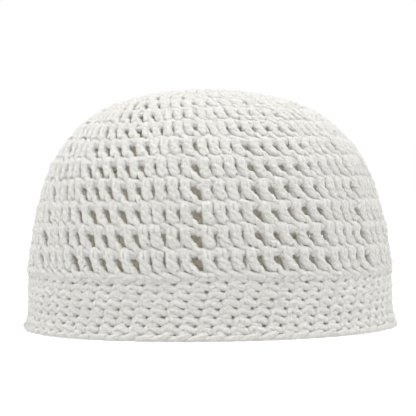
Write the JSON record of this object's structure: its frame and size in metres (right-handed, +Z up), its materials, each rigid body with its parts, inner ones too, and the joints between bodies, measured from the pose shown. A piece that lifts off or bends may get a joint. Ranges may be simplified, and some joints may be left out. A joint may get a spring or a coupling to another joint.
{
  "type": "crocheted kufi cap",
  "caption": "Round brimless cap of crocheted cotton: a domed openwork crown over a dense band with a thick edging round, open below for the head.",
  "frame": {"origin": "middle of the rim, on the surface that the cap stands on", "axes": "+Z up through the crown, -Y to the front, +X to the right of the front view"},
  "size_m": [0.187, 0.187, 0.1187],
  "materials": {
    "crochet_cotton": "matte off-white plied cotton yarn"
  },
  "bodies": {
    "root": {"crown_top": "crochet_cotton", "crown_openwork": "crochet_cotton", "band": "crochet_cotton", "edging": "crochet_cotton"}
  },
  "joints": []
}
